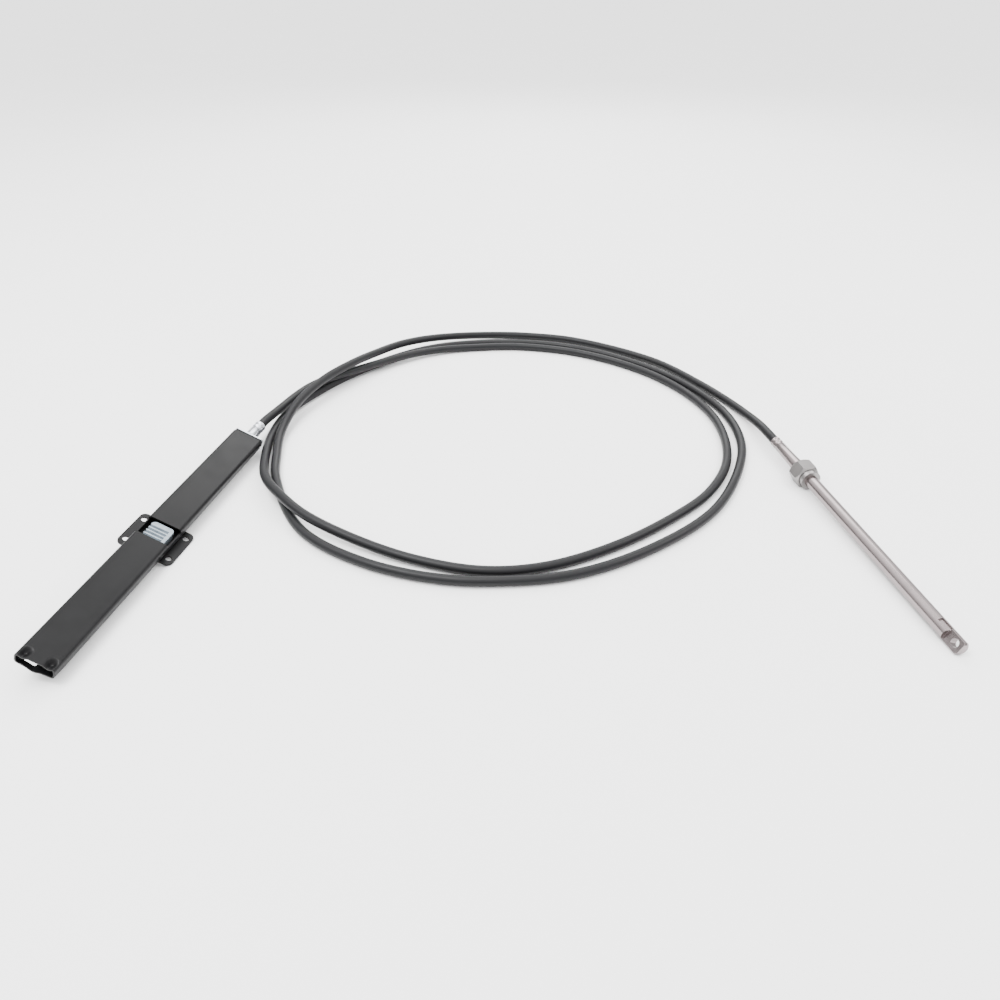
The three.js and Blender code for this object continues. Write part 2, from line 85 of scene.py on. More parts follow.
# Clearances, in millimetres
SEAT_GAP = 0.3
CUT_PAST = 5.0
CUT_JUST_PAST = 1.0
SLIDE_GAP = 0.3

# Rack housing, in millimetres
HOUSING_WALL = 1.6
HOUSING_CORNER = 4.0
END_INSET = 1.2
END_INSET_LENGTH = 5.0
AXIS_OFFSET = 0.9
DIMPLE_DEPTH = 4.5
DIMPLE_FROM_END = 6.0
DIMPLE_REACH = 6.5
DIMPLE_AT_LIP = 0.5
DIMPLE_OFFSET = 13.0
DIMPLE_HALF_WIDTH = 6.5
LIP_RISE = 1.0
LIP_SAG = 2.5
LIP_SAG_HALF_WIDTH = 10.0
LIP_SAG_OFFSET = -2.0
LIP_LENGTH = 12.0
WINDOW_CENTRE = -7.3
WINDOW_DEPTH = 4.5
SLOT_LENGTH = 12.0
SLOT_WIDTH = 3.2
SLOT_FROM_END = 5.0
SLOT_OFFSET = -8.0

# Rack bar
RACK_TOP_GAP = 0.5
RACK_END_PAST_WINDOW = -2.6
RACK_CORNER = 4.5
RACK_RAIL = 3.8
RACK_LAND = 6.0
TOOTH_PITCH = 5.1
TOOTH_DEPTH = 2.8
TOOTH_CREST = 1.5
TOOTH_ROOT = 1.4

# Mounting bracket
EAR_REACH = 12.7
BRACKET_THICKNESS = 2.0
HOLE_SPACING_ALONG = 36.4
HOLE_FROM_EDGE = 7.0
HOLE_FROM_END = 9.8
BRACKET_CORNER = 7.0
BRACKET_CENTRE = -6.8
BRACKET_SHIFT = -1.0

# End plug and ferrule
PLUG_PLATE = 2.0
PLATE_INSET = 0.6
PLUG_INSERT = 10.0
CORE_BORE = 6.4
CRIMP_WIDTH = 3.0
CRIMP_DEPTH = 1.1
CRIMP_PITCH = 7.5
CRIMP_FROM_END = 4.0
END_ROUND = 0.6
START_ROUND = 0.3

# Coupling nut
NUT_HEX_LENGTH = 22.0
NUT_RING_LENGTH = 6.0
NUT_RING_DIAMETER = 26.5
NUT_RING_EDGE = 0.7
NUT_NECK_DIAMETER = 25.0
NUT_NECK_LENGTH = 1.2
NUT_CHAMFER = 3.4
NUT_CHAMFER_LENGTH = 3.2
THREAD_BORE = 22.2
THREAD_LEAD_IN = 0.8
THREAD_PITCH = 1.8
THREAD_DEPTH = 0.5
NUT_REAR_WALL = 4.0
HEXAGON_PAST = 0.2
THREAD_END = 3.0

# Output ram, its guide tube and its sleeve
GUIDE_DIAMETER = 9.5
GUIDE_WALL = 1.4
GUIDE_TIP_GAP = 7.0
GUIDE_SEAT = 16.0
RAM_SOLID_END = 38.0
RAM_REAR_CHAMFER = 0.5
RAM_TIP_CHAMFER = 2.0
TANG_LENGTH = 21.5
TANG_FACE = 2.9
TANG_BACK = 5.7
TANG_TURN = math.radians(65.6)
HOLE_FROM_TIP = 8.8
GROOVE_LENGTH = 14.7
GROOVE_WIDTH = 5.7
GROOVE_DEPTH = 2.0
GROOVE_TURN = math.radians(8.0)
SLEEVE_LENGTH = 67.0
SLEEVE_SHOULDER = 2.0
SLEEVE_REAR_DIAMETER = 14.0
SLEEVE_MID_DIAMETER = 14.8
SLEEVE_FRONT_DIAMETER = 16.8
SLEEVE_MID_FRACTION = 0.72
SLEEVE_COLLAR_DIAMETER = 20.0
SLEEVE_COLLAR_LENGTH = 3.0

# Camera, found from the photo's perspective
CAMERA_HEIGHT = 0.567
CAMERA_PITCH = math.radians(35.2)
CAMERA_LENS = 28.3
SENSOR = 36.0

FLOOR_SIZE = 20000.0
FLOOR_DEPTH = 20.0
SPLINE_STEPS = 10

# Studio light, darker at the horizon than overhead so that metal shows some contrast
WORLD_HORIZON = 0.12
WORLD_STRENGTH = 3.8


def hex_colour(text):
    """Linear colour of an sRGB hex colour such as '#46464A'."""
    parts = [int(text[i:i + 2], 16) / 255 for i in (1, 3, 5)]
    return tuple(c / 12.92 if c <= 0.04045 else ((c + 0.055) / 1.055) ** 2.4 for c in parts)


def length_property(name, default, description):
    return bpy.props.FloatProperty(
        name=name, description=description, default=default, min=0.001, unit="LENGTH",
        precision=4)


def colour_property(name, default, description):
    return bpy.props.FloatVectorProperty(
        name=name, description=description, default=hex_colour(default), subtype="COLOR",
        size=3, min=0.0, max=1.0)


class SteeringCableSizes(bpy.types.PropertyGroup):
    """Main sizes of the steering cable."""
    housing_length: length_property("Housing Length", 0.423, "Length of the rack housing")
    housing_width: length_property("Housing Width", 0.0403, "Width of the rack housing")
    housing_height: length_property("Housing Height", 0.015, "Height of the rack housing")
    window_length: length_property("Window Length", 0.028, "Opening for the helm's pinion")
    rack_width: length_property("Rack Width", 0.026, "Width of the toothed bar")
    rack_length: length_property("Rack Length", 0.2, "Length of the toothed bar")
    bracket_hole: length_property("Bracket Hole", 0.007, "Diameter of the bracket's holes")
    ferrule_diameter: length_property("Ferrule Diameter", 0.015, "Sleeve at the housing")
    ferrule_length: length_property("Ferrule Length", 0.0315, "Length of the sleeve at the housing")
    conduit_diameter: length_property("Conduit Diameter", 0.012, "Outside of the conduit")
    nut_across_flats: length_property("Nut Across Flats", 0.028575, "Spanner size of the nut")
    ram_diameter: length_property("Ram Diameter", 0.015875, "Outside of the output ram")
    ram_reach: length_property("Ram Reach", 0.292, "From the nut's front face to the ram's tip")
    tang_hole: length_property("Tang Hole", 0.0095, "Hole in the ram's flat end")


class SteeringCableColours(bpy.types.PropertyGroup):
    """Colours of the steering cable."""
    paint: colour_property("Paint", "#0D0D0E", "Housing and bracket")
    rack: colour_property("Rack", "#8C969E", "Toothed bar")
    zinc: colour_property("Zinc", "#C9CCD2", "End plug and ferrule")
    conduit: colour_property("Conduit", "#111113", "Jacket of the conduit")
    nut: colour_property("Nut", "#8C8988", "Coupling nut")
    steel: colour_property("Steel", "#8F8686", "Output ram and sleeve")
    floor: colour_property("Floor", "#FAFAFA", "Studio floor")


def sizes():
    """The chosen sizes in millimetres, by name."""
    group = bpy.context.scene.steering_cable_sizes
    return {name: getattr(group, name) / MM for name in group.__annotations__}


def colours():
    return bpy.context.scene.steering_cable_colours


# Shapes, in millimetres until they become a mesh

def mesh_of(name, vertices, faces):
    """A closed mesh in metres, with its faces pointing out."""
    mesh = bpy.data.meshes.new(name)
    mesh.from_pydata([tuple(c * MM for c in v) for v in vertices], [], faces)
    editable = bmesh.new()
    editable.from_mesh(mesh)
    bmesh.ops.remove_doubles(editable, verts=editable.verts, dist=1e-7)
    bmesh.ops.recalc_face_normals(editable, faces=editable.faces)
    editable.to_mesh(mesh)
    editable.free()
    return mesh


def lathe(profile, sides=96, closed=False):
    """Vertices and faces of (radius, y) pairs turned about +Y; closed has a bore of its own."""
    vertices = []
    for radius, y in profile:
        for k in range(sides):
            angle = 2 * math.pi * k / sides
            vertices.append((radius * math.sin(angle), y, radius * math.cos(angle)))
    rings = len(profile)
    last = rings if closed else rings - 1
    faces = []
    for i in range(last):
        j = (i + 1) % rings
        for k in range(sides):
            n = (k + 1) % sides
            faces.append((i * sides + k, i * sides + n, j * sides + n, j * sides + k))
    if not closed:
        faces.append(tuple(range(sides)))
        faces.append(tuple(range((rings - 1) * sides, rings * sides)))
    return vertices, faces


def rod(radius, low, high, sides=96):
    return lathe([(radius, low), (radius, high)], sides)


def prism(outline, place, low, high):
    """An outline of (a, b) pairs carried from low to high; place turns (a, b, c) into x, y, z."""
    count = len(outline)
    vertices = [place(a, b, low) for a, b in outline] + [place(a, b, high) for a, b in outline]
    faces = [(k, (k + 1) % count, count + (k + 1) % count, count + k) for k in range(count)]
    faces.append(tuple(range(count)))
    faces.append(tuple(range(count, 2 * count)))
    return vertices, faces


def upright(a, b, c):
    return a, b, c


def along(a, b, c):
    return a, c, b


def across(a, b, c):
    return c, a, b


def rounded(width, height, radius, steps=10):
    """Outline of a rectangle with rounded corners, around its middle."""
    outline = []
    corners = [(1, 1), (-1, 1), (-1, -1), (1, -1)]
    for quarter, (sx, sy) in enumerate(corners):
        for k in range(steps + 1):
            angle = (quarter + k / steps) * math.pi / 2
            outline.append((
                sx * (width / 2 - radius) + radius * math.cos(angle),
                sy * (height / 2 - radius) + radius * math.sin(angle)))
    return outline


def box(low, high):
    outline = [(low[0], low[1]), (high[0], low[1]), (high[0], high[1]), (low[0], high[1])]
    return prism(outline, upright, low[2], high[2])


def moved(shape, matrix):
    vertices, faces = shape
    return [tuple(matrix @ Vector(v)) for v in vertices], faces


def combine(obj, shape, operation):
    """obj's mesh united with, cut by or limited to a shape."""
    tool = bpy.data.objects.new("tool", mesh_of("tool", *shape))
    bpy.context.scene.collection.objects.link(tool)
    modifier = obj.modifiers.new("combine", "BOOLEAN")
    modifier.operation = operation
    modifier.solver = "EXACT"
    modifier.object = tool
    bpy.context.view_layer.update()
    evaluated = obj.evaluated_get(bpy.context.evaluated_depsgraph_get())
    result = bpy.data.meshes.new_from_object(evaluated)
    obj.modifiers.clear()
    old = obj.data
    obj.data = result
    bpy.data.meshes.remove(old)
    tool_mesh = tool.data
    bpy.data.objects.remove(tool)
    bpy.data.meshes.remove(tool_mesh)


def new_object(name, shape):
    obj = bpy.data.objects.new(name, mesh_of(name, *shape))
    bpy.context.scene.collection.objects.link(obj)
    return obj


def finish_piece(obj, name, place, material, body, slot, *nodes, smooth_angle=32.0):
    """The piece takes its place, its shading, its material and its body."""
    obj.data.name = name
    obj.data.polygons.foreach_set("use_smooth", [True] * len(obj.data.polygons))
    obj.data.set_sharp_from_angle(angle=math.radians(smooth_angle))
    obj.data.materials.clear()
    obj.data.materials.append(material)
    obj.matrix_world = place
    bpy.context.view_layer.update()
    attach(obj, body)
    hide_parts(*nodes)


# Places of the two rigid ends

def on_floor(x, y, lift):
    return Vector((x - LAYOUT_ORIGIN[0], y - LAYOUT_ORIGIN[1], lift)) * MM


def rack_end_place():
    s = sizes()
    ear_x = s["housing_width"] / 2 + EAR_REACH + BRACKET_SHIFT
    ear_z = s["housing_height"] / 2 + SEAT_GAP + BRACKET_THICKNESS
    lift = ear_x * math.sin(HOUSING_ROLL) + ear_z * math.cos(HOUSING_ROLL)
    turn = Matrix.Rotation(-HOUSING_YAW, 4, "Z") @ Matrix.Rotation(HOUSING_ROLL, 4, "Y")
    return Matrix.Translation(on_floor(*HOUSING_PLACE, lift)) @ turn


def output_end_place():
    s = sizes()
    flat = s["nut_across_flats"] / 2
    tip = s["ram_reach"] - RAM_TIP_CHAMFER
    tilt = math.atan2(flat - s["ram_diameter"] / 2, tip + NUT_RING_LENGTH)
    lift = flat * math.cos(tilt) - NUT_RING_LENGTH * math.sin(tilt)
    turn = Matrix.Rotation(-RAM_YAW, 4, "Z") @ Matrix.Rotation(-tilt, 4, "X")
    return Matrix.Translation(on_floor(*NUT_PLACE, lift)) @ turn


# Materials

def add_node(material, kind, inputs=None, **settings):
    """A shader node with its settings; an input is a value or another node's output."""
    tree = material.node_tree
    node = tree.nodes.new(kind)
    for name, value in settings.items():
        setattr(node, name, value)
    for name, value in (inputs or {}).items():
        if isinstance(value, bpy.types.NodeSocket):
            tree.links.new(value, node.inputs[name])
        else:
            node.inputs[name].default_value = value
    return node


def new_material(name):
    material = bpy.data.materials.new(name)
    material.use_nodes = True
    material.node_tree.nodes.clear()
    return material


def per_mm(size):
    """Scale of a noise or wave whose features are about size millimetres."""
    return 1 / (size * MM)


def ramp(material, fac, *stops):
    node = add_node(material, "ShaderNodeValToRGB", {"Fac": fac})
    elements = node.color_ramp.elements
    while len(elements) < len(stops):
        elements.new(0.5)
    for element, (position, colour) in zip(elements, stops):
        element.position = position
        element.color = colour if len(colour) == 4 else (*colour, 1)
    return node.outputs["Color"]


def shade(colour, factor):
    return tuple(min(c * factor, 1.0) for c in colour)


def grey(value):
    return (value, value, value)


def stretched(material, factors):
    """Object coordinates, stretched so that marks run along one axis."""
    position = add_node(material, "ShaderNodeTexCoord").outputs["Object"]
    return add_node(
        material, "ShaderNodeMapping", {"Vector": position, "Scale": factors}).outputs["Vector"]


def noise(material, vector, feature, detail=3.0, roughness=0.5):
    return add_node(material, "ShaderNodeTexNoise", {
        "Vector": vector, "Scale": per_mm(feature), "Detail": detail, "Roughness": roughness,
    }).outputs["Fac"]


def finish_surface(material, colour, metallic, roughness, height, depth, edge, **more):
    """Joins colour, roughness and relief in one surface with slightly rounded edges."""
    soft = add_node(material, "ShaderNodeBevel", {"Radius": edge * MM}, samples=6)
    bump = add_node(material, "ShaderNodeBump", {
        "Height": height, "Distance": depth * MM, "Strength": 1.0,
        "Normal": soft.outputs["Normal"]})
    surface = add_node(material, "ShaderNodeBsdfPrincipled", {
        "Base Color": colour, "Metallic": metallic, "Roughness": roughness,
        "Normal": bump.outputs["Normal"], **more})
    add_node(material, "ShaderNodeOutputMaterial", {"Surface": surface.outputs["BSDF"]})
    return material


def black_paint():
    """Satin black enamel on steel: faint orange peel and a slightly uneven gloss."""
    material = new_material("satin_black_enamel")
    base = tuple(colours().paint)
    spot = stretched(material, (1, 1, 1))
    cloud = noise(material, spot, 22, 4)
    peel = noise(material, spot, 1.1, 2)
    colour = ramp(material, cloud, (0.3, shade(base, 0.85)), (0.7, shade(base, 1.2)))
    gloss = ramp(material, cloud, (0.3, grey(0.34)), (0.7, grey(0.46)))
    return finish_surface(
        material, colour, 0.0, gloss, peel, 0.012, 0.35,
        **{"Specular IOR Level": 0.14, "Coat Weight": 0.02, "Coat Roughness": 0.3})


def cast_zinc():
    """Dull grey metal: matt, with a fine grain, and a tone and roughness that vary a little at
    random.
    """
    material = new_material("dull_grey_zinc_alloy")
    base = tuple(colours().rack)
    spot = stretched(material, (1, 1, 1))
    cloud = noise(material, spot, 6, 5)
    grain = noise(material, spot, 0.5, 2)
    colour = ramp(material, cloud, (0.3, shade(base, 0.8)), (0.7, shade(base, 1.15)))
    rough = ramp(material, cloud, (0.3, grey(0.42)), (0.7, grey(0.58)))
    return finish_surface(material, colour, 0.7, rough, grain, 0.02, 0.3)


def turned_metal(name, base, low, high, mark, metallic=1.0, edge=0.25):
    """Bright turned or drawn metal: fine lines run round it, and its gloss is a little uneven."""
    material = new_material(name)
    spot = stretched(material, (1, 1, 1))
    lines = stretched(material, (0.06, 1, 0.06))
    cloud = noise(material, spot, 14, 4)
    fine = noise(material, lines, mark, 2)
    colour = ramp(material, cloud, (0.3, shade(base, 0.92)), (0.7, shade(base, 1.04)))
    rough = ramp(material, fine, (0.3, grey(low)), (0.7, grey(high)))
    return finish_surface(material, colour, metallic, rough, fine, 0.004, edge)


def polished_steel():
    """Polished stainless steel of the ram, with faint marks of its polishing."""
    return turned_metal("polished_stainless_steel", tuple(colours().steel), 0.16, 0.26, 0.4)


def bright_zinc():
    """Bright zinc plate, as on small crimped fittings."""
    return turned_metal("bright_zinc_plate", tuple(colours().zinc), 0.2, 0.34, 0.5)


def plated_nut():
    """Satin plated steel, duller and a little darker than the ram."""
    return turned_metal("satin_plated_steel", tuple(colours().nut), 0.3, 0.42, 0.6, edge=0.5)


def conduit_jacket():
    """Extruded plastic jacket: an even satin with faint waves from the wire under it."""
    material = new_material("extruded_plastic_jacket")
    base = tuple(colours().conduit)
    spot = stretched(material, (1, 1, 1))
    cloud = noise(material, spot, 40, 3)
    wave = noise(material, spot, 7, 2)
    colour = ramp(material, cloud, (0.3, shade(base, 0.9)), (0.7, shade(base, 1.12)))
    rough = ramp(material, cloud, (0.3, grey(0.4)), (0.7, grey(0.5)))
    return finish_surface(
        material, colour, 0.0, rough, wave, 0.05, 0.1, **{"Specular IOR Level": 0.22})


def studio_floor():
    """Plain pale studio floor, matt, with a trace of unevenness."""
    material = new_material("matt_studio_floor")
    base = tuple(colours().floor)
    spot = stretched(material, (1, 1, 1))
    cloud = noise(material, spot, 300, 2)
    colour = ramp(material, cloud, (0.3, shade(base, 0.99)), (0.7, base))
    rough = ramp(material, cloud, (0.3, grey(0.85)), (0.7, grey(0.9)))
    return finish_surface(material, colour, 0.0, rough, cloud, 0.01, 0.1)


# Pieces of the rack end

def smooth(t):
    s = min(max(t, 0.0), 1.0)
    return s * s * (3 - 2 * s)


def wall_bend(x, z, from_end, width):
    """How far up the wall is bent near the open end: two dimples above, a bulge below."""
    if z > 0:
        sideways = smooth(1 - abs(abs(x) - DIMPLE_OFFSET) / DIMPLE_HALF_WIDTH)
        to_lip = DIMPLE_AT_LIP + (1 - DIMPLE_AT_LIP) * smooth(from_end / DIMPLE_FROM_END)
        to_tube = smooth(1 - (from_end - DIMPLE_FROM_END) / DIMPLE_REACH)
        return -DIMPLE_DEPTH * sideways * min(to_lip, to_tube)
    corner = smooth(abs(x) / (width / 2))
    middle = smooth(1 - abs(x - LIP_SAG_OFFSET) / LIP_SAG_HALF_WIDTH)
    return smooth(1 - from_end / LIP_LENGTH) * (LIP_RISE * corner - LIP_SAG * middle)


def housing_section(width, height, corner_steps=10, flat_steps=72):
    """Points round the tube with the direction that points out of its wall."""
    x = width / 2 - HOUSING_CORNER
    z = height / 2 - HOUSING_CORNER
    corners = [(x, z), (-x, z), (-x, -z), (x, -z)]
    points = []
    for quarter, (cx, cz) in enumerate(corners):
        for k in range(corner_steps + 1):
            angle = (quarter + k / corner_steps) * math.pi / 2
            out = (math.cos(angle), math.sin(angle))
            points.append((cx + HOUSING_CORNER * out[0], cz + HOUSING_CORNER * out[1], out))
        next_x = corners[(quarter + 1) % 4][0]
        if next_x != cx:
            side = math.copysign(1, cz)
            for k in range(1, flat_steps):
                points.append((cx + (next_x - cx) * k / flat_steps, side * height / 2, (0, side)))
    return points


def housing_skin(s):
    section = housing_section(s["housing_width"], s["housing_height"])
    count = len(section)
    length = s["housing_length"]
    end = length / 2
    pressed = DIMPLE_FROM_END + DIMPLE_REACH
    stations = [-end + pressed * k / 28 for k in range(29)]
    stations += [end - END_INSET_LENGTH * (1 - k / 8) for k in range(9)]
    vertices = []
    for y in stations:
        inset = END_INSET * smooth(1 - (end - y) / END_INSET_LENGTH)
        for depth in (0, HOUSING_WALL):
            for x, z, out in section:
                inward = depth + inset
                bend = wall_bend(x, z, y + end, s["housing_width"])
                vertices.append((x - out[0] * inward, y, z - out[1] * inward + bend))

    def at(station, layer, k):
        return (station * 2 + layer) * count + k % count

    faces = []
    last = len(stations) - 1
    for k in range(count):
        for i in range(last):
            for layer in (0, 1):
                faces.append((
                    at(i, layer, k), at(i, layer, k + 1),
                    at(i + 1, layer, k + 1), at(i + 1, layer, k)))
        for i in (0, last):
            faces.append((at(i, 0, k), at(i, 0, k + 1), at(i, 1, k + 1), at(i, 1, k)))
    return vertices, faces


def window_span(s):
    return WINDOW_CENTRE - s["window_length"] / 2, WINDOW_CENTRE + s["window_length"] / 2


class OBJECT_OT_cable_housing(bpy.types.Operator):
    """Make the flat rack housing and its mounting bracket"""
    bl_idname = "object.steering_cable_housing"
    bl_label = "Make Rack Housing"

    def execute(self, context):
        s = sizes()
        place = rack_end_place()
        paint = black_paint()
        top = s["housing_height"] / 2
        side = s["housing_width"] / 2 + CUT_PAST
        near, far = window_span(s)
        tube = new_object("housing", housing_skin(s))
        window = box((-side, near, top - WINDOW_DEPTH), (side, far, top + CUT_PAST))
        combine(tube, window, "DIFFERENCE")
        slot_y = -s["housing_length"] / 2 + SLOT_FROM_END + SLOT_WIDTH / 2
        slot = prism(
            rounded(SLOT_LENGTH, SLOT_WIDTH, SLOT_WIDTH / 2 - 0.01), upright,
            -top - CUT_PAST, -top + HOUSING_WALL + LIP_RISE + CUT_JUST_PAST)
        slot = moved(slot, Matrix.Translation((SLOT_OFFSET, slot_y, 0)))
        combine(tube, slot, "DIFFERENCE")
        finish_piece(
            tube, "housing", place, paint, "cable_body", "black_paint", "housing_tube")

        width = s["housing_width"] + 2 * EAR_REACH
        length = HOLE_SPACING_ALONG + 2 * HOLE_FROM_END
        plate_top = -top - SEAT_GAP
        plate = new_object("bracket", moved(
            prism(rounded(width, length, BRACKET_CORNER, 16), upright,
                  plate_top - BRACKET_THICKNESS, plate_top),
            Matrix.Translation((BRACKET_SHIFT, BRACKET_CENTRE, 0))))
        for side_x in (-1, 1):
            for side_y in (-1, 1):
                middle = (BRACKET_SHIFT + side_x * (width / 2 - HOLE_FROM_EDGE),
                          BRACKET_CENTRE + side_y * HOLE_SPACING_ALONG / 2, 0)
                drill = prism(
                    [(s["bracket_hole"] / 2 * math.cos(a), s["bracket_hole"] / 2 * math.sin(a))
                     for a in (2 * math.pi * k / 48 for k in range(48))],
                    upright, -top - 2 * CUT_PAST, -top + CUT_PAST)
                combine(plate, moved(drill, Matrix.Translation(middle)), "DIFFERENCE")
        finish_piece(
            plate, "bracket", place, paint, "cable_body", "black_paint", "mounting_bracket")
        return {"FINISHED"}


class OBJECT_OT_cable_rack(bpy.types.Operator):
    """Make the toothed bar inside the housing"""
    bl_idname = "object.steering_cable_rack"
    bl_label = "Make Rack Bar"

    def execute(self, context):
        s = sizes()
        far = window_span(s)[1] + RACK_END_PAST_WINDOW
        near = far - s["rack_length"]
        bottom = -s["housing_height"] / 2 + HOUSING_WALL + SEAT_GAP
        top = s["housing_height"] / 2 - HOUSING_WALL - RACK_TOP_GAP
        root = top - TOOTH_DEPTH
        flank = (TOOTH_PITCH - TOOTH_CREST - TOOTH_ROOT) / 2
        profile = [(near, bottom), (far, bottom), (far, top)]
        for k in range(int((s["rack_length"] - 2 * RACK_LAND) // TOOTH_PITCH)):
            start = far - RACK_LAND - k * TOOTH_PITCH
            profile += [
                (start, top), (start - flank, root),
                (start - flank - TOOTH_ROOT, root), (start - 2 * flank - TOOTH_ROOT, top)]
        profile.append((near, top))
        half = s["rack_width"] / 2
        left, right = AXIS_OFFSET - half, AXIS_OFFSET + half
        bar = new_object("rack", prism(profile, across, left, right))
        rail = box((right - RACK_RAIL, near, bottom), (right, far, top))
        combine(bar, rail, "UNION")
        outline = rounded(s["rack_width"], s["rack_length"], RACK_CORNER, 12)
        limit = moved(
            prism(outline, upright, bottom - CUT_JUST_PAST, top + CUT_JUST_PAST),
            Matrix.Translation((AXIS_OFFSET, (near + far) / 2, 0)))
        combine(bar, limit, "INTERSECT")
        finish_piece(
            bar, "rack", rack_end_place(), cast_zinc(), "rack", "cast_zinc", "rack_bar")
        return {"FINISHED"}


def crimped_end(radius, end, direction):
    """Outline of a crimped end: two grooves pressed round it, near its far edge."""
    points = []
    for k in (1, 0):
        middle = end - direction * (CRIMP_FROM_END + k * CRIMP_PITCH)
        for step in range(13):
            offset = -1 + step / 6
            depth = CRIMP_DEPTH * smooth(2 * (1 - abs(offset)))
            points.append((radius - depth, middle + direction * offset * CRIMP_WIDTH))
    points += [
        (radius, end - direction * END_ROUND),
        (radius - 0.3 * END_ROUND, end - direction * 0.3 * END_ROUND),
        (radius - END_ROUND, end)]
    return points


def ferrule_ends(s):
    start = s["housing_length"] / 2 + SEAT_GAP + PLUG_PLATE + SEAT_GAP
    return start, start + s["ferrule_length"]


def sleeve_rear():
    return -(NUT_HEX_LENGTH + NUT_RING_LENGTH) - SLEEVE_LENGTH


class OBJECT_OT_cable_fittings(bpy.types.Operator):
    """Make the housing's end plug and the ferrule that grips the conduit"""
    bl_idname = "object.steering_cable_fittings"
    bl_label = "Make End Plug and Ferrule"

    def execute(self, context):
        s = sizes()
        place = rack_end_place()
        zinc = bright_zinc()
        end = s["housing_length"] / 2
        lost = 2 * (END_INSET + HOUSING_WALL + SEAT_GAP)
        inner = rounded(
            s["housing_width"] - lost, s["housing_height"] - lost,
            HOUSING_CORNER - HOUSING_WALL - SEAT_GAP)
        outline = rounded(
            s["housing_width"] - 2 * PLATE_INSET, s["housing_height"] - 2 * PLATE_INSET,
            HOUSING_CORNER - PLATE_INSET)
        face = end + SEAT_GAP + PLUG_PLATE
        plug = new_object("end_cap", prism(outline, along, end + SEAT_GAP, face))
        insert = prism(inner, along, end - PLUG_INSERT, end + SEAT_GAP + PLUG_PLATE / 2)
        combine(plug, insert, "UNION")
        aside = Matrix.Translation((AXIS_OFFSET, 0, 0))
        passage = moved(
            rod(CORE_BORE / 2, end - PLUG_INSERT - CUT_JUST_PAST, face + CUT_JUST_PAST, 48), aside)
        combine(plug, passage, "DIFFERENCE")
        finish_piece(plug, "end_cap", place, zinc, "cable_body", "zinc_plate", "end_plug")

        start, stop = ferrule_ends(s)
        radius = s["ferrule_diameter"] / 2
        tube = lathe(
            [(CORE_BORE / 2, start), (radius - START_ROUND, start), (radius, start + START_ROUND)]
            + crimped_end(radius, stop, 1) + [(CORE_BORE / 2, stop)], closed=True)
        ferrule = new_object("ferrule", moved(tube, aside))
        finish_piece(
            ferrule, "ferrule", place, zinc, "cable_body", "zinc_plate", "cable_ferrule")
        return {"FINISHED"}


# Pieces of the output end

def nut_marks():
    """The nut's rear face, its inner shelf and the front of the collar that holds it."""
    rear = -(NUT_HEX_LENGTH + NUT_RING_LENGTH)
    shelf = rear + NUT_REAR_WALL
    return rear, shelf, shelf + SEAT_GAP + SLEEVE_COLLAR_LENGTH


class OBJECT_OT_cable_nut(bpy.types.Operator):
    """Make the coupling nut"""
    bl_idname = "object.steering_cable_nut"
    bl_label = "Make Coupling Nut"

    def execute(self, context):
        s = sizes()
        rear, shelf, collar = nut_marks()
        corner = s["nut_across_flats"] / math.sqrt(3)
        hexagon = [(corner * math.cos(k * math.pi / 3), corner * math.sin(k * math.pi / 3))
                   for k in range(6)]
        nut = new_object("nut", prism(hexagon, along, rear, -NUT_RING_LENGTH))
        face = corner - NUT_CHAMFER
        combine(nut, lathe([
            (face, rear - 0.01), (corner + HEXAGON_PAST, rear + NUT_CHAMFER_LENGTH),
            (corner + HEXAGON_PAST, -NUT_RING_LENGTH - NUT_CHAMFER_LENGTH),
            (face, -NUT_RING_LENGTH + 0.01)], 144), "INTERSECT")
        ring = NUT_RING_DIAMETER / 2
        neck = NUT_NECK_DIAMETER / 2
        neck_front = NUT_NECK_LENGTH - NUT_RING_LENGTH
        combine(nut, lathe([
            (neck, -NUT_RING_LENGTH - CUT_JUST_PAST), (neck, neck_front), (ring, neck_front),
            (ring, -NUT_RING_EDGE), (ring - 0.3 * NUT_RING_EDGE, -0.3 * NUT_RING_EDGE),
            (ring - NUT_RING_EDGE, 0)], 144), "UNION")
        passage = SLEEVE_FRONT_DIAMETER / 2 + SEAT_GAP
        thread = THREAD_BORE / 2
        bore = [(passage, rear - CUT_JUST_PAST), (passage, shelf), (thread, shelf)]
        turns = int((-THREAD_LEAD_IN - shelf - THREAD_END) // THREAD_PITCH)
        for k in range(turns, 0, -1):
            crest = -THREAD_LEAD_IN - k * THREAD_PITCH
            bore += [(thread, crest), (thread + THREAD_DEPTH, crest + THREAD_PITCH / 2)]
        bore += [(thread, -THREAD_LEAD_IN), (thread + 2 * THREAD_LEAD_IN, THREAD_LEAD_IN)]
        combine(nut, lathe(bore, 144), "DIFFERENCE")
        finish_piece(
            nut, "nut_piece", output_end_place(), plated_nut(), "nut", "plated_nut",
            "coupling_nut", smooth_angle=20.0)
        return {"FINISHED"}


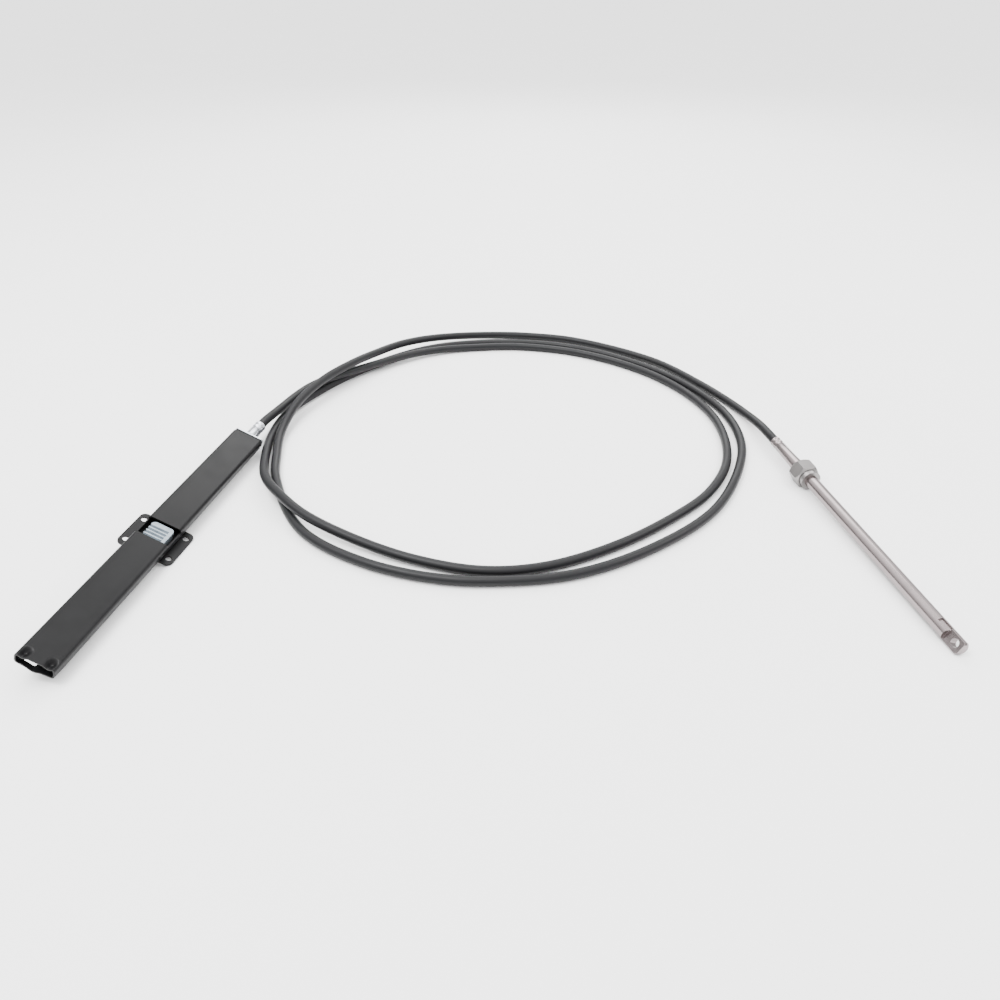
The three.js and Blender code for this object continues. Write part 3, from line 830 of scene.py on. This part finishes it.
class OBJECT_OT_cable_ram(bpy.types.Operator):
    """Make the output ram, its guide tube and the sleeve behind the nut"""
    bl_idname = "object.steering_cable_ram"
    bl_label = "Make Output Ram"

    def execute(self, context):
        s = sizes()
        place = output_end_place()
        steel = polished_steel()
        rear, shelf, collar = nut_marks()
        radius = s["ram_diameter"] / 2
        reach = s["ram_reach"]
        start = collar + SEAT_GAP
        ram = new_object("ram_piece", lathe([
            (radius - RAM_REAR_CHAMFER, start), (radius, start + RAM_REAR_CHAMFER),
            (radius, reach - RAM_TIP_CHAMFER), (radius - RAM_TIP_CHAMFER, reach)], 144))
        bore = GUIDE_DIAMETER / 2 + SLIDE_GAP
        combine(ram, rod(bore, start - CUT_JUST_PAST, reach - RAM_SOLID_END), "DIFFERENCE")
        past = radius + CUT_JUST_PAST
        tip_past = reach + CUT_JUST_PAST
        shoulder = reach - TANG_LENGTH
        half_groove = GROOVE_WIDTH / 2
        turn = Matrix.Rotation(TANG_TURN, 4, "Y")
        groove = box((-half_groove, shoulder - GROOVE_LENGTH, radius - GROOVE_DEPTH),
                     (half_groove, shoulder + CUT_JUST_PAST, past))
        combine(ram, moved(groove, Matrix.Rotation(GROOVE_TURN, 4, "Y")), "DIFFERENCE")
        cross = Matrix.Translation((0, reach - HOLE_FROM_TIP, 0)) @ Matrix.Rotation(
            math.pi / 2, 4, "X")
        for shape in (
                box((-past, shoulder, TANG_FACE), (past, tip_past, past)),
                box((-past, shoulder, -past), (past, tip_past, -TANG_BACK)),
                moved(rod(s["tang_hole"] / 2, -past, past, 64), cross)):
            combine(ram, moved(shape, turn), "DIFFERENCE")
        finish_piece(ram, "ram_piece", place, steel, "ram", "stainless", "output_ram")

        outer = GUIDE_DIAMETER / 2
        seat = collar - GUIDE_SEAT
        far = reach - RAM_SOLID_END - GUIDE_TIP_GAP
        guide = new_object("guide", lathe([
            (outer - GUIDE_WALL, seat + SEAT_GAP), (outer, seat + SEAT_GAP),
            (outer, far), (outer - GUIDE_WALL, far)], 64, closed=True))
        finish_piece(guide, "guide", place, steel, "cable_body", "stainless", "guide_tube")

        front = SLEEVE_FRONT_DIAMETER / 2
        middle = rear - SLEEVE_LENGTH * (1 - SLEEVE_MID_FRACTION)
        socket = GUIDE_DIAMETER / 2 + SEAT_GAP / 2
        collar_radius = SLEEVE_COLLAR_DIAMETER / 2
        crimps = crimped_end(SLEEVE_REAR_DIAMETER / 2, sleeve_rear(), -1)
        sleeve = new_object("sleeve", lathe(
            [(CORE_BORE / 2, sleeve_rear())] + crimps[::-1] + [
                (SLEEVE_MID_DIAMETER / 2, middle), (front, rear - SLEEVE_SHOULDER),
                (front, shelf + SEAT_GAP), (collar_radius, shelf + SEAT_GAP),
                (collar_radius, collar), (socket, collar), (socket, seat),
                (CORE_BORE / 2, seat)], closed=True))
        finish_piece(sleeve, "sleeve", place, steel, "cable_body", "stainless", "output_sleeve")
        return {"FINISHED"}


def spline_points(points, steps):
    """Centripetal Catmull-Rom line through the points."""
    ends = [2 * points[0] - points[1], *points, 2 * points[-1] - points[-2]]
    line = []
    for i in range(1, len(ends) - 2):
        p0, p1, p2, p3 = ends[i - 1:i + 3]
        d0, d1, d2 = [math.sqrt((b - a).length) for a, b in ((p0, p1), (p1, p2), (p2, p3))]
        leave = ((p1 - p0) / d0 - (p2 - p0) / (d0 + d1) + (p2 - p1) / d1) * d1
        arrive = ((p2 - p1) / d1 - (p3 - p1) / (d1 + d2) + (p3 - p2) / d2) * d1
        for k in range(steps):
            t = k / steps
            line.append(
                p1 + leave * t + (3 * (p2 - p1) - 2 * leave - arrive) * t * t
                + (2 * (p1 - p2) + leave + arrive) * t ** 3)
    line.append(points[-1])
    return line


class OBJECT_OT_cable_conduit(bpy.types.Operator):
    """Make the long conduit in its loose turns"""
    bl_idname = "object.steering_cable_conduit"
    bl_label = "Make Conduit"

    def execute(self, context):
        s = sizes()
        rack_end = rack_end_place()
        output_end = output_end_place()
        start = (ferrule_ends(s)[1] + SEAT_GAP) * MM
        end = (sleeve_rear() - SEAT_GAP) * MM
        origin = Vector((*LAYOUT_ORIGIN, 0)) * MM
        aside = AXIS_OFFSET * MM
        points = [
            rack_end @ Vector((aside, start, 0)),
            rack_end @ Vector((aside, start + CONDUIT_LEAD, 0)),
            *(Vector(p) - origin for p in CONDUIT_ROUTE),
            output_end @ Vector((0, end - CONDUIT_LEAD, 0)), output_end @ Vector((0, end, 0))]
        line = spline_points(points, SPLINE_STEPS)
        curve = bpy.data.curves.new("conduit", "CURVE")
        curve.dimensions = "3D"
        curve.bevel_depth = s["conduit_diameter"] / 2 * MM
        curve.bevel_resolution = 8
        curve.use_fill_caps = True
        spline = curve.splines.new("POLY")
        spline.points.add(len(line) - 1)
        for point, place in zip(spline.points, line):
            point.co = (*place, 1)
        spline.use_smooth = True
        conduit = bpy.data.objects.new("conduit", curve)
        bpy.context.scene.collection.objects.link(conduit)
        curve.materials.append(conduit_jacket())
        bpy.context.view_layer.update()
        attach(conduit, "cable_body")
        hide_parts("cable_conduit")
        return {"FINISHED"}


class OBJECT_OT_cable_stage(bpy.types.Operator):
    """Make the camera, the floor and the soft studio light"""
    bl_idname = "object.steering_cable_stage"
    bl_label = "Make Stage"

    def execute(self, context):
        scene = bpy.context.scene
        camera_data = bpy.data.cameras.new("camera")
        camera_data.sensor_width = SENSOR
        camera_data.lens = CAMERA_LENS
        camera = bpy.data.objects.new("camera", camera_data)
        scene.collection.objects.link(camera)
        camera.location = (-LAYOUT_ORIGIN[0] * MM, -LAYOUT_ORIGIN[1] * MM, CAMERA_HEIGHT)
        camera.rotation_euler = Euler((math.pi / 2 - CAMERA_PITCH, 0, 0))
        scene.camera = camera

        floor = new_object("floor", box(
            (-FLOOR_SIZE, -FLOOR_SIZE, -FLOOR_DEPTH), (FLOOR_SIZE, FLOOR_SIZE, 0)))
        floor.data.materials.append(studio_floor())

        for name, place, aim, width, power in (
                ("key_light", (-0.9, -0.2, 2.2), (0, 0.1, 0), 1.4, 75),
                ("fill_light", (1.6, 0.2, 1.6), (0, 0.1, 0), 1.2, 26),
                ("back_light", (0.2, 2.4, 1.8), (0, 0.2, 0), 1.8, 50)):
            light_data = bpy.data.lights.new(name, "AREA")
            light_data.shape = "SQUARE"
            light_data.size = width
            light_data.energy = power
            light = bpy.data.objects.new(name, light_data)
            scene.collection.objects.link(light)
            light.location = place
            light.rotation_euler = (Vector(aim) - Vector(place)).to_track_quat("-Z", "Y").to_euler()

        world = bpy.data.worlds.new("studio")
        world.use_nodes = True
        direction = add_node(world, "ShaderNodeTexCoord").outputs["Generated"]
        height = add_node(world, "ShaderNodeSeparateXYZ", {"Vector": direction}).outputs["Z"]
        sky = ramp(world, height, (0.0, grey(WORLD_HORIZON)), (1.0, grey(1.0)))
        background = world.node_tree.nodes["Background"]
        world.node_tree.links.new(sky, background.inputs["Color"])
        background.inputs["Strength"].default_value = WORLD_STRENGTH
        scene.world = world
        return {"FINISHED"}


class VIEW3D_PT_steering_cable(bpy.types.Panel):
    """Sizes, colours and steps of the steering cable"""
    bl_label = "Steering Cable"
    bl_idname = "VIEW3D_PT_steering_cable"
    bl_space_type = "VIEW_3D"
    bl_region_type = "UI"
    bl_category = "Steering Cable"

    def draw(self, context):
        layout = self.layout
        scene = context.scene
        for group in (scene.steering_cable_sizes, scene.steering_cable_colours):
            column = layout.column(align=True)
            for name in group.__annotations__:
                column.prop(group, name)
        for operator in OPERATORS:
            layout.operator(operator.bl_idname)


OPERATORS = (
    OBJECT_OT_cable_stage,
    OBJECT_OT_cable_conduit,
    OBJECT_OT_cable_housing,
    OBJECT_OT_cable_rack,
    OBJECT_OT_cable_fittings,
    OBJECT_OT_cable_nut,
    OBJECT_OT_cable_ram,
)
CLASSES = (SteeringCableSizes, SteeringCableColours, *OPERATORS, VIEW3D_PT_steering_cable)


def register():
    for cls in CLASSES:
        bpy.utils.register_class(cls)
    bpy.types.Scene.steering_cable_sizes = bpy.props.PointerProperty(type=SteeringCableSizes)
    bpy.types.Scene.steering_cable_colours = bpy.props.PointerProperty(type=SteeringCableColours)


def unregister():
    del bpy.types.Scene.steering_cable_colours
    del bpy.types.Scene.steering_cable_sizes
    for cls in reversed(CLASSES):
        bpy.utils.unregister_class(cls)


def main():
    register()
    bpy.ops.object.steering_cable_stage()
    bpy.ops.object.steering_cable_conduit()
    bpy.ops.object.steering_cable_housing()
    bpy.ops.object.steering_cable_rack()
    bpy.ops.object.steering_cable_fittings()
    bpy.ops.object.steering_cable_nut()
    bpy.ops.object.steering_cable_ram()


if __name__ == "__main__":
    main()
